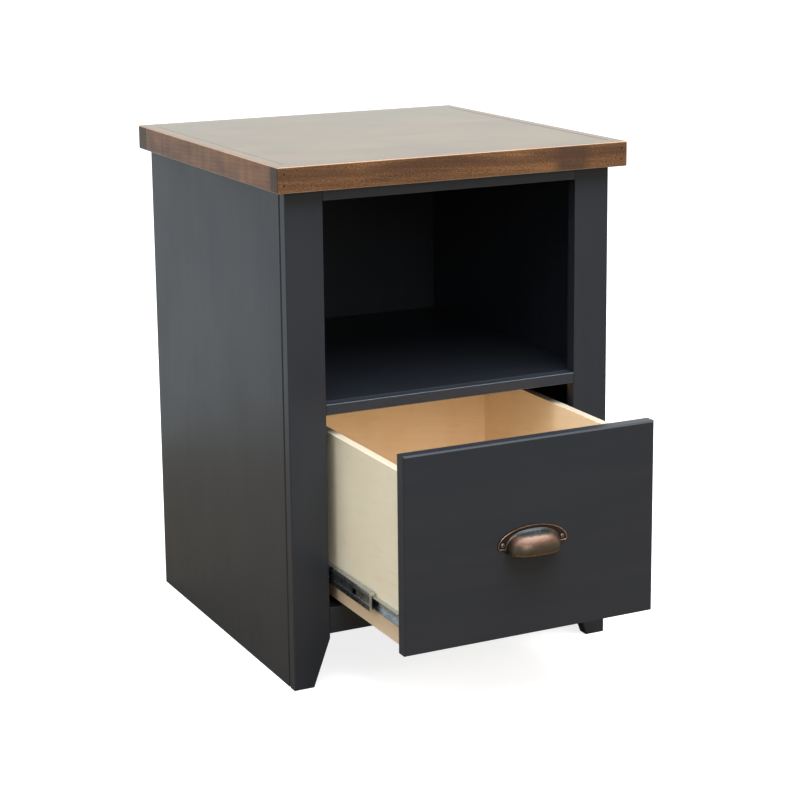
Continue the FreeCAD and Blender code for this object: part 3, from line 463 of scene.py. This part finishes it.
def copper(name, high, low, front, back):
    """Antiqued copper, brown below; its colour by height also paints light on the cup."""
    shade = Shade(name)
    height = shade.span(shade.along("Z"), low, high)
    out = shade.span(shade.along("Y"), back, front)
    mottle = shade.noise(shade.place(), 260.0, 4.0, 0.65, 0.4)
    brushed = shade.noise(shade.vector("MULTIPLY", shade.place(), (900.0, 900.0, 60.0)),
                          1.0, 3.0, 0.6)
    patina_and_light = shade.plus(height, shade.swing(mottle, 0.22))
    # painted light by height: the bright copper belly is partly the rubbed finish and partly a
    # painted highlight, the bluish gunmetal shoulder is a painted reflection of a dark ceiling,
    # and the bluish-silver top is a painted highlight at the collar
    base = shade.ramp(patina_and_light, [(0.0, (0.26, 0.16, 0.12)), (0.06, (0.115, 0.095, 0.070)),
                             (0.40, (0.150, 0.110, 0.080)), (0.58, (0.28, 0.160, 0.115)),
                             (0.72, (0.42, 0.25, 0.19)), (0.82, (0.54, 0.36, 0.29)),
                             (0.89, (0.23, 0.225, 0.22)), (0.95, (0.20, 0.235, 0.26)),
                             (1.0, (0.52, 0.60, 0.66))], True)
    base = shade.mix(shade.ramp(out, [(0.02, 1.0), (0.20, 0.0)], True), base,
                     (0.10, 0.098, 0.098))
    base = shade.mix(shade.span(brushed, 0.45, 0.75, 0.0, 0.45), base, (0.09, 0.062, 0.045))
    rough = shade.span(mottle, 0.3, 0.7, 0.28, 0.42)
    grain = shade.bump(brushed, 0.12, 0.0002)
    dents = shade.bump(shade.noise(shade.place(), 120.0, 2.0), 0.14, 0.0005, grain)
    return shade.finish(Base_Color=base, Metallic=0.95, Roughness=rough, Normal=dents)


def rim_copper(name):
    """The backplate's rim and lip, where the dark finish has been rubbed through."""
    shade = Shade(name)
    mottle = shade.noise(shade.place(), 330.0, 3.0, 0.6)
    colour = shade.ramp(mottle, [(0.30, (0.20, 0.10, 0.06)), (0.62, (0.62, 0.36, 0.24))])
    return shade.finish(Base_Color=colour, Metallic=0.95, Roughness=shade.span(
        mottle, 0.3, 0.7, 0.32, 0.22), Normal=shade.bump(mottle, 0.12, 0.0002))


def gunmetal(name):
    """The dark finish in the backplate's hollow, also used on the nails."""
    shade = Shade(name)
    mottle = shade.noise(shade.place(), 300.0, 3.0, 0.6)
    colour = shade.mix(mottle, (0.030, 0.027, 0.026), (0.075, 0.060, 0.052))
    return shade.finish(Base_Color=colour, Metallic=0.9, Roughness=shade.span(
        mottle, 0.3, 0.7, 0.38, 0.52), Normal=shade.bump(mottle, 0.10, 0.0002))


def polished_steel(name, tint=(0.78, 0.78, 0.79), rough=0.14):
    """Bright steel of balls and screws, faintly smeared."""
    shade = Shade(name)
    smear = shade.noise(shade.place(), 480.0, 3.0, 0.6)
    colour = shade.mix(smear, tint, tuple(0.7 * part for part in tint))
    return shade.finish(Base_Color=colour, Metallic=1.0, Roughness=shade.span(
        smear, 0.3, 0.7, rough, rough + 0.12), Normal=shade.bump(smear, 0.05, 0.0001))


def plastic(name):
    """Black moulded plastic of the slide buffers."""
    shade = Shade(name)
    cloud = shade.noise(shade.place(), 90.0, 3.0, 0.6)
    grit = shade.noise(shade.place(), 1500.0, 1.0)
    colour = shade.mix(cloud, (0.012, 0.012, 0.013), (0.028, 0.028, 0.030))
    return shade.finish(Base_Color=colour, Roughness=shade.span(cloud, 0.3, 0.7, 0.45, 0.6),
                        Normal=shade.bump(grit, 0.12, 0.0002))


def dress(node, material):
    """Give a CAD node a material in every slot that its mesh has."""
    mesh = nodes[node].data
    if not mesh.materials:
        mesh.materials.append(material)
    for index in range(len(mesh.materials)):
        mesh.materials[index] = material


PLANK_TONES = ((0.54, 0.92), (0.62, 0.86), (0.50, 0.98), (0.60, 0.90), (0.53, 0.84))


def dress_top():
    """Stain the edge boards one by one; each plank gets a lightness and a redness."""
    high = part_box("top_edge_front")[1][2]
    dress("top_edge_front", stained_wood("stain_edge_front", "X", (0.13, 0.02, 0.05), 0.82,
                                         band=(high - 0.009, 0.62), speckle=1.15, fibre=0.12,
                                         nails=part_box("front_edge_nails"),
                                         smudge=(0.185, 0.035)))
    dress("top_edge_back", stained_wood("stain_edge_back", "X", (1.91, 0.31, 0.44), 0.95))
    dress("top_edge_left", stained_wood("stain_edge_left", "Y", (0.41, 0.83, 0.12), 1.2, 1.02,
                                        coat=0.32, chatter=0.30, speckle=0.22, fibre=0.05))
    dress("top_edge_right", stained_wood("stain_edge_right", "Y", (2.07, 1.13, 0.27), 1.05,
                                         coat=0.8, chatter=0.2,
                                         seam=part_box("top_edge_right")[0][0]))
    for number, (light, red) in enumerate(PLANK_TONES, start=1):
        seed = (0.37 * number, 0.71 * number, 0.23 * number)
        dress(f"top_plank_{number}",
              stained_wood(f"stain_plank_{number}", "X", seed, light, red, painted_top_shade=0.0))


def dress_case():
    for index, side in enumerate(("left", "right")):
        dress(f"side_panel_{side}", paint(f"paint_side_{side}", "Z", (0.6 * index, 0.21, 0.0)))
        dress(f"stile_{side}", paint(f"paint_stile_{side}", "Z", (0.31, 0.5 * index, 0.1)))
    # painted light and shade through the tints: the top rail and nosing, shaded by the top's
    # overhang, are painted lighter; the drawer front is painted a little darker
    dress("top_rail", paint("paint_top_rail_painted_light", "X", (0.2, 0.4, 0.1), 1.6, joints=1.0))
    dress("shelf_nosing", paint("paint_nosing_painted_light", "X", (0.5, 0.2, 0.3), 1.2, arris_highlight=0.95,
                                joints=1.0))
    dress("bottom_rail", paint("paint_bottom_rail", "X", (0.8, 0.1, 0.7), joints=1.0))
    # painted shade: the same paint, darker on the cubby's shelf and ceiling, under the drawer
    # and on the back
    inside = paint("paint_inside_painted_shade", "X", (0.9, 0.3, 0.2), 0.62, 0.42)
    for node in ("shelf_panel", "bottom_panel", "sub_top"):
        dress(node, inside)
    dress("back_panel", paint("paint_back_painted_shade", "Z", (0.5, 0.9, 0.4), 0.62, 0.45))
    dress("drawer_front", paint("paint_drawer_front", "X", (0.7, 0.1, 0.6), 0.94,
                                 arris_highlight=0.04))
    block = softwood("bare_softwood")
    for side in ("left", "right"):
        dress(f"slide_spacer_{side}", block)


def dress_drawer_box():
    thin_axis = {"drawer_side_left": "X", "drawer_side_right": "X", "drawer_back": "Y",
                 "drawer_box_front": "Y", "drawer_bottom": "Z"}
    grain = {"X": "Y", "Y": "X", "Z": "X"}
    slide_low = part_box("slide_drawer_member_left")[0][2]
    for index, (node, thin) in enumerate(thin_axis.items()):
        low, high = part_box(node)
        axis = AXES[thin]
        middle = (low[axis] + high[axis]) / 2
        thickness = high[axis] - low[axis]
        seed = (0.3 * index, 0.17 * index, 0.23 * index)
        plies = 5 if thin == "Z" else 7
        outside = node == "drawer_side_left"
        # painted light: every piece but the left side is painted warmer and lighter, as light
        # bounced inside the box
        dress(node, plywood(f"birch_{node}", grain[thin], seed, thin, middle, thickness, plies,
                            painted_bounce=0.0 if outside else 1.0,
                            tan_below=slide_low if outside else None))


def dress_metal():
    plated = zinc("zinc_plate")
    low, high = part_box("slide_middle_member_left")
    # painted light on the middle member: painted shade low down and across the web, with a
    # painted highlight line at the raceway edge
    stops = [(0.10, 0.45), (0.24, 0.38), (0.28, 1.4), (0.36, 1.4), (0.40, 0.72),
             (0.78, 0.62), (0.84, 1.0)]
    dark = zinc("zinc_middle_painted_bands", (0.62, 0.66, 0.70), 0.24, (low[2], high[2], stops))
    retainer = zinc("retainer_steel", (0.60, 0.60, 0.58), 0.35)
    cream = zinc("bracket_steel", (0.86, 0.83, 0.72), 0.34)
    balls = polished_steel("bearing_steel")
    screws = polished_steel("screw_steel", (0.58, 0.58, 0.57), 0.24)
    buffer = plastic("black_plastic")
    for side in ("left", "right"):
        for node in ("slide_fixed_member", "slide_drawer_member"):
            dress(f"{node}_{side}", plated)
        dress(f"slide_middle_member_{side}", dark)
        dress(f"slide_end_bracket_{side}", cream)
        for kind in ("inner", "outer"):
            dress(f"{kind}_ball_retainer_{side}", retainer)
            dress(f"{kind}_balls_{side}", balls)
        for node in ("slide_case_screws", "slide_drawer_screws", "spacer_screws"):
            dress(f"{node}_{side}", screws)
        dress(f"slide_rear_stop_{side}", buffer)
    for node in ("drawer_front_screws", "top_screws"):
        dress(node, screws)
    filled = gunmetal("nail_filler")
    for node in ("front_edge_nails", "back_edge_nails", "nosing_nails"):
        dress(node, filled)


# ---------------------------------------------------------------------------
# Cup pull and its screws
# ---------------------------------------------------------------------------
MERGE_DISTANCE = 1e-6
CUP_WALL = 1.8 * MM
CUP_SQUARE = 2.5
CUP_BULGE = 2.35
LIP_BEAD = 0.55 * MM
LIP_HEIGHT = 0.25 * MM
# depth and flare of each row of the collar, then inward step and depth of the rim, in mm
COLLAR = ((0.0, 2.4), (1.0, 2.4), (1.8, 2.0), (2.3, 1.0), (2.9, 0.2))
RIM_PROFILE = ((0.0, 0.0), (0.0, 1.3), (0.25, 1.75), (0.75, 2.0), (1.3, 1.9), (1.8, 1.5),
               (2.1, 1.2))
PLATE_CORNER = 4.2 * MM
ARCH_STEPS, CORNER_STEPS = 72, 9
PLATE_ABOVE_LIP = 5.2 * MM
PLATE_WIDER = MM
CUP_BELOW_TOP = 7.6 * MM
CUP_NARROWER = 12.0 * MM
RIM_DEPTH = 1.55 * MM
HEAD_SEAT = 1.2 * MM
HEAD_HEIGHT = 2.3 * MM
RECESS_ARM, RECESS_REACH, RECESS_DEPTH = 0.13, 0.62, 0.55


def make_piece(name, points, faces, materials):
    """A smooth-shaded object of points and faces, with shared points merged."""
    mesh = bpy.data.meshes.new(name)
    mesh.from_pydata([tuple(point) for point in points], [], faces)
    work = bmesh.new()
    work.from_mesh(mesh)
    bmesh.ops.remove_doubles(work, verts=work.verts, dist=MERGE_DISTANCE)
    bmesh.ops.dissolve_degenerate(work, edges=work.edges, dist=MERGE_DISTANCE)
    bmesh.ops.recalc_face_normals(work, faces=work.faces)
    work.to_mesh(mesh)
    work.free()
    for material in materials:
        mesh.materials.append(material)
    for polygon in mesh.polygons:
        polygon.use_smooth = True
    piece = bpy.data.objects.new(name, mesh)
    bpy.context.scene.collection.objects.link(piece)
    return piece


def sharpen(piece, degrees):
    """Keep edges sharper than an angle crisp under smooth shading."""
    limit = math.radians(degrees)
    work = bmesh.new()
    work.from_mesh(piece.data)
    for edge in work.edges:
        if len(edge.link_faces) == 2 and edge.calc_face_angle() > limit:
            edge.smooth = False
    work.to_mesh(piece.data)
    work.free()


def grid_faces(rows, columns, closed=False):
    """Quads between rows of points that are stored one row after another."""
    faces = []
    last = columns if closed else columns - 1
    for row in range(rows - 1):
        for column in range(last):
            following = (column + 1) % columns
            faces.append((row * columns + column, row * columns + following,
                          (row + 1) * columns + following, (row + 1) * columns + column))
    return faces


def squared(angle, power):
    """A point on a superellipse: the circle of power 2, squarer above it."""
    side, up = math.cos(angle), math.sin(angle)
    return (math.copysign(abs(side) ** (2 / power), side),
            math.copysign(abs(up) ** (2 / power), up))


def cup_point(middle, size, turn, angle):
    """A point of the bulging shell: turn runs round the mouth, angle from plate to lip."""
    side, up = squared(turn, CUP_SQUARE)
    rise, out = squared(angle, CUP_BULGE)
    half_width, reach, height = size
    face, low = middle
    return Vector((half_width * side, face - reach * out * up, low + height * rise * up))


def build_cup(face, low, high, half_width, reach):
    """The hollow cup: collar at the plate, outer skin, rounded lip and inner skin."""
    columns, arc_rows, lip_rows = 72, 26, 6
    turns = [math.pi * column / (columns - 1) for column in range(columns)]
    outer = (half_width, reach, high - low)
    inner = tuple(length - CUP_WALL for length in outer)
    points = []
    for depth, flare in COLLAR:
        for turn in turns:
            side, up = squared(turn, CUP_SQUARE)
            points.append(Vector(((half_width + flare * MM) * side,
                                  face - depth * MM * min(1.0, up * 6),
                                  low + (high - low + flare * MM) * up)))
    first = math.asin((COLLAR[-1][0] * MM / reach) ** (CUP_BULGE / 2))
    for index in range(arc_rows):
        angle = first + (math.pi / 2 - first) * index / (arc_rows - 1)
        points += [cup_point((face, low), outer, turn, angle) for turn in turns]
    for index in range(1, lip_rows + 1):
        angle = math.pi * index / lip_rows
        inward = CUP_WALL * 0.5 * (1 - math.cos(angle))
        drop = LIP_BEAD * math.sin(angle)
        size = tuple(length - inward for length in outer)
        points += [cup_point((face, low - drop), size, turn, math.pi / 2) for turn in turns]
    for index in range(arc_rows):
        angle = math.pi / 2 * (1 - index / (arc_rows - 1))
        points += [cup_point((face, low), inner, turn, angle) for turn in turns]
    rows = len(points) // columns
    faces = grid_faces(rows, columns)
    last = (rows - 1) * columns
    end = columns - 1
    faces += [(last + column, last + column + 1, column + 1, column)
              for column in range(1, end - 1)]
    # at both ends the section is flat: the collar's points lie on its edge, the lip is closed
    chain = [row * columns for row in range(len(COLLAR) + 1)]
    faces.append((last, last + 1, 1, *chain))
    faces.append((last + end - 1, last + end, *(end + point for point in reversed(chain)),
                  end - 1))
    lip = [(len(COLLAR) + arc_rows - 1 + row) * columns for row in range(lip_rows + 1)]
    faces.append(tuple(lip))
    faces.append(tuple(end + point for point in lip))
    return points, faces


def arch_outline(half_width, low, high):
    """Arched plate outline, anticlockwise from the right ear: half an ellipse on two
    rounded lower corners."""
    points = []
    base = low + PLATE_CORNER
    for index in range(ARCH_STEPS + 1):
        turn = math.pi * index / ARCH_STEPS
        height = base + (high - base) * math.sin(turn)
        points.append(Vector((half_width * math.cos(turn), height)))
    for sign in (-1, 1):
        centre = Vector((sign * (half_width - PLATE_CORNER), base))
        for index in range(1, CORNER_STEPS):
            step = index if sign < 0 else CORNER_STEPS - index
            turn = -math.pi / 2 * step / CORNER_STEPS
            offset = Vector((sign * math.cos(turn), math.sin(turn))) * PLATE_CORNER
            points.append(centre + offset)
    return points


def offset_outline(points, inward):
    """The same outline, moved inward by a distance."""
    moved = []
    count = len(points)
    for index, point in enumerate(points):
        ahead = points[(index + 1) % count] - points[index - 1]
        normal = Vector((-ahead.y, ahead.x)).normalized()
        moved.append(point + normal * inward)
    return moved


def build_plate(face, half_width, low, high):
    """The backplate: a flat arch with a raised, rounded rim."""
    outline = arch_outline(half_width, low, high)
    points = []
    for inward, depth in RIM_PROFILE:
        for spot in offset_outline(outline, inward * MM):
            points.append(Vector((spot.x, face - depth * MM, spot.y)))
    count = len(outline)
    faces = grid_faces(len(RIM_PROFILE), count, closed=True)
    faces.append(tuple(range(count)))
    faces.append(tuple((len(RIM_PROFILE) - 1) * count + index for index in range(count)))
    return points, faces


def build_screw_head(centre, radius, height):
    """A round head with a cross recess, facing -Y."""
    rings, columns = 14, 48
    points = []
    for ring in range(rings + 1):
        share = ring / rings
        for column in range(columns):
            turn = 2 * math.pi * column / columns
            x, z = share * radius * math.cos(turn), share * radius * math.sin(turn)
            rise = height * math.sqrt(max(0.0, 1 - 0.92 * share * share)) - height * 0.28
            arm = RECESS_ARM * radius
            reach = RECESS_REACH * radius
            inside = share * radius < reach and (abs(x) < arm or abs(z) < arm)
            if inside:
                rise -= RECESS_DEPTH * height * (1 - share * radius / reach) ** 0.5
            points.append(centre + Vector((x, -rise, z)))
    for column in range(columns):
        turn = 2 * math.pi * column / columns
        points.append(centre + Vector((radius * math.cos(turn), 0.0,
                                       radius * math.sin(turn))))
    faces = grid_faces(rings + 2, columns, closed=True)
    base = (rings + 1) * columns
    faces.append(tuple(base + column for column in range(columns)))
    return points, faces


def add_pull():
    """The cup and its backplate, which replace the CAD pull, and then its screws."""
    low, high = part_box("cup_pull")
    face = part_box("drawer_front")[0][1]
    plate_low = low[2] + PLATE_ABOVE_LIP
    cup_high = high[2] - CUP_BELOW_TOP
    cup_half = high[0] - CUP_NARROWER
    patina = copper("antique_copper", cup_high, low[2], low[1], face)
    dark = gunmetal("dark_gunmetal")
    rubbed = rim_copper("rubbed_copper")
    points, faces = build_cup(face, low[2], cup_high, cup_half, face - low[1])
    cup = make_piece("pull_cup", points, faces, [patina, rubbed])
    for polygon in cup.data.polygons:
        if polygon.center.z < low[2] + LIP_HEIGHT:
            polygon.material_index = 1
    points, faces = build_plate(face, high[0] + PLATE_WIDER, plate_low, high[2])
    plate = make_piece("pull_backplate", points, faces, [dark, rubbed])
    for polygon in plate.data.polygons:
        on_rim = polygon.center.y < face - RIM_DEPTH
        polygon.material_index = 1 if on_rim else 0
    sharpen(plate, 30)
    for piece in (cup, plate):
        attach(piece, "drawer")
        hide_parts("cup_pull")
    add_pull_screws(face)


def add_pull_screws(face):
    """Two round heads with a cross recess, which replace the CAD screws."""
    screw_low, screw_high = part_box("pull_screws")
    radius = (screw_high[2] - screw_low[2]) / 2
    head = polished_steel("pull_screw_steel", (0.34, 0.31, 0.28), 0.2)
    for name, x in (("left", screw_low[0] + radius), ("right", screw_high[0] - radius)):
        centre = Vector((x, face - HEAD_SEAT, (screw_low[2] + screw_high[2]) / 2))
        points, faces = build_screw_head(centre, radius, HEAD_HEIGHT)
        screw = make_piece(f"pull_screw_head_{name}", points, faces, [head])
        sharpen(screw, 35)
        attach(screw, "drawer")
        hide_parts("pull_screws")


# ---------------------------------------------------------------------------
# Stage: pale floor, white surroundings and soft lights
# ---------------------------------------------------------------------------
def add_sheet(name, low, high, level, colour, glow=0.0):
    """A level sheet of the studio, from one corner to another."""
    mesh = bpy.data.meshes.new(name)
    corners = [(low[0], low[1], level), (high[0], low[1], level),
               (high[0], high[1], level), (low[0], high[1], level)]
    mesh.from_pydata(corners, [], [(0, 1, 2, 3)])
    sheet = bpy.data.objects.new(name, mesh)
    bpy.context.scene.collection.objects.link(sheet)
    material = bpy.data.materials.new(name)
    material.use_nodes = True
    shader = material.node_tree.nodes["Principled BSDF"]
    shader.inputs["Base Color"].default_value = (*colour, 1.0)
    shader.inputs["Roughness"].default_value = 0.9
    shader.inputs["Emission Color"].default_value = (1.0, 1.0, 1.0, 1.0)
    shader.inputs["Emission Strength"].default_value = glow
    mesh.materials.append(material)
    return sheet


def add_floor():
    """A white floor for the camera, and a wooden one that only light and gloss meet."""
    floor = add_sheet("floor", (-14, -14), (14, 14), 0.0, (0.50, 0.50, 0.50), 0.82)
    floor.visible_glossy = False
    floor.visible_diffuse = False
    boards = add_sheet("studio_boards", (-5, -6), (5, 1.25), -0.002, (0.27, 0.212, 0.150))
    boards.visible_camera = False
    boards.visible_shadow = False


def map_range(tree, source, values):
    """A Map Range node: the range of its input, then the range of its output."""
    node = tree.nodes.new("ShaderNodeMapRange")
    tree.links.new(source, node.inputs[0])
    for socket, value in zip(list(node.inputs)[1:5], values):
        socket.default_value = value
    return node.outputs[0]


CAMERA_WHITE = 1.25


def add_world():
    """White surroundings: cooler on the left, darker behind the camera, brightest overhead."""
    world = bpy.data.worlds.new("studio")
    bpy.context.scene.world = world
    world.use_nodes = True
    tree = world.node_tree
    background = tree.nodes["Background"]
    coordinates = tree.nodes.new("ShaderNodeTexCoord")
    direction = tree.nodes.new("ShaderNodeSeparateXYZ")
    tree.links.new(coordinates.outputs["Generated"], direction.inputs[0])
    side = map_range(tree, direction.outputs[0], (-0.4, 0.4, 0.0, 1.0))
    tint = tree.nodes.new("ShaderNodeMix")
    tint.data_type = "RGBA"
    tree.links.new(side, tint.inputs[0])
    tint.inputs[6].default_value = (0.82, 0.895, 0.935, 1.0)
    tint.inputs[7].default_value = (0.97, 1.0, 0.94, 1.0)
    tree.links.new(tint.outputs[2], background.inputs["Color"])
    depth = map_range(tree, direction.outputs[1], (-0.9, 0.1, 0.40, 0.82))
    zenith = map_range(tree, direction.outputs[2], (0.55, 0.85, 0.0, 1.1))
    total = tree.nodes.new("ShaderNodeMath")
    tree.links.new(depth, total.inputs[0])
    tree.links.new(zenith, total.inputs[1])
    path = tree.nodes.new("ShaderNodeLightPath")
    choice = tree.nodes.new("ShaderNodeMix")
    tree.links.new(path.outputs["Is Camera Ray"], choice.inputs[0])
    tree.links.new(total.outputs[0], choice.inputs[2])
    choice.inputs[3].default_value = CAMERA_WHITE
    tree.links.new(choice.outputs[0], background.inputs["Strength"])


def add_light(name, place, aim, width, height, power):
    """A soft rectangular light that points at a place."""
    data = bpy.data.lights.new(name, "AREA")
    data.shape = "RECTANGLE"
    data.size = width
    data.size_y = height
    data.energy = power
    light = bpy.data.objects.new(name, data)
    light.location = place
    light.rotation_euler = (Vector(aim) - Vector(place)).to_track_quat("-Z", "Y").to_euler()
    bpy.context.scene.collection.objects.link(light)
    return light


def add_lights():
    key = add_light("key", (0.3, -1.3, 3.1), (0.1, -0.35, 0.35), 3.4, 2.6, 212)
    key.visible_glossy = False
    add_light("front_soft", (-0.5, -3.4, 1.8), (0.0, -0.2, 0.3), 1.6, 1.0, 18)
    left = add_light("left_soft", (-3.2, 0.2, 2.0), (0.0, 0.0, 0.4), 2.0, 1.6, 30)
    left.visible_glossy = False


add_camera()
dress_top()
dress_case()
dress_drawer_box()
dress_metal()
add_pull()
add_floor()
add_world()
add_lights()
bpy.context.scene.view_settings.view_transform = "Standard"
